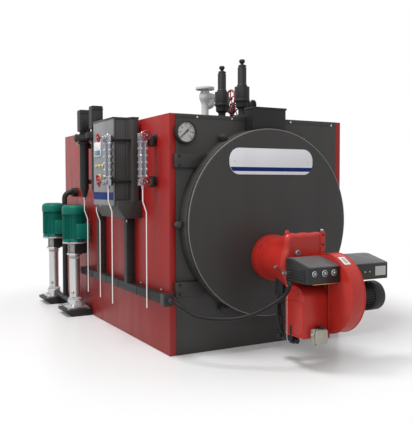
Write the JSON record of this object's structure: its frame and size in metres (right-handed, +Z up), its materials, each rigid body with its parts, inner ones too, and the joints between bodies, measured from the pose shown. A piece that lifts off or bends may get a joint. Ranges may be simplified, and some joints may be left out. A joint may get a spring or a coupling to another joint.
{
  "type": "industrial boiler",
  "caption": "Packaged horizontal fire-tube steam boiler in a boxed casing, with a round front door, gas burner, control cabinet, level fittings and feed pumps.",
  "frame": {"origin": "on the floor, under the middle of the casing", "axes": "+Z up, -Y towards the burner and the round door, -X towards the side with the control cabinet and pumps"},
  "size_m": [1.8352, 3.646, 2.152],
  "materials": {
    "casing_red": "semi-gloss red enamel",
    "casing_dark": "satin dark grey enamel",
    "burner_red": "semi-gloss red on cast aluminium",
    "black_plastic": "fine-grained black plastic",
    "black_steel": "satin black",
    "plaque_white": "satin white",
    "panel_grey": "light grey powder coat",
    "stool_silver": "silver paint on a casting",
    "wheel_red": "gloss red",
    "valve_white": "pale painted casting",
    "gauge_steel": "brushed",
    "sleeve_steel": "polished stainless steel",
    "tube_steel": "bright drawn tube",
    "motor_green": "teal green enamel",
    "actuator_beige": "moulded",
    "conduit_black": "corrugated black plastic"
  },
  "bodies": {
    "root": {"air_intake": "burner_red", "blowdown_branch": "black_steel", "boiler_body": "casing_dark", "burner_actuator": "actuator_beige", "burner_conduit": "conduit_black", "burner_controls": "black_plastic", "burner_flange": "burner_red", "burner_head": "burner_red", "burner_motor": "black_steel", "burner_scroll": "burner_red", "cabinet_panel": "panel_grey", "cable_duct": "black_steel", "cock_wheels": "wheel_red", "control_cabinet": "casing_dark", "controller_heads": "black_steel", "coupling_guards": "black_steel", "door_clamps": "casing_dark", "door_plaque": "plaque_white", "drain_tubes": "tube_steel", "feed_header": "black_steel", "feed_riser": "black_steel", "flue_outlet": "black_steel", "front_plate": "casing_dark", "front_rails": "casing_dark", "fuel_pump": "black_steel", "gauge_branches": "black_steel", "gland_box": "black_plastic", "level_controller_1": "black_steel", "level_controller_2": "black_steel", "level_gauge_1": "gauge_steel", "level_gauge_2": "gauge_steel", "motor_stools": "stool_silver", "panel_display": "plaque_white", "pressure_gauge": "black_steel", "pump_body_1": "sleeve_steel", "pump_body_2": "sleeve_steel", "pump_feet": "black_steel", "pump_motor_1": "motor_green", "pump_motor_2": "motor_green", "rear_cover": "casing_dark", "rear_plate": "casing_dark", "safety_valves": "black_steel", "side_panel_left": "casing_red", "side_panel_right": "casing_red", "smokebox": "casing_dark", "smokebox_door": "casing_dark", "steam_valve": "valve_white", "steam_wheel": "wheel_red", "top_panel": "casing_dark", "vent_valve": "black_steel", "vent_wheel": "wheel_red"}
  },
  "joints": []
}
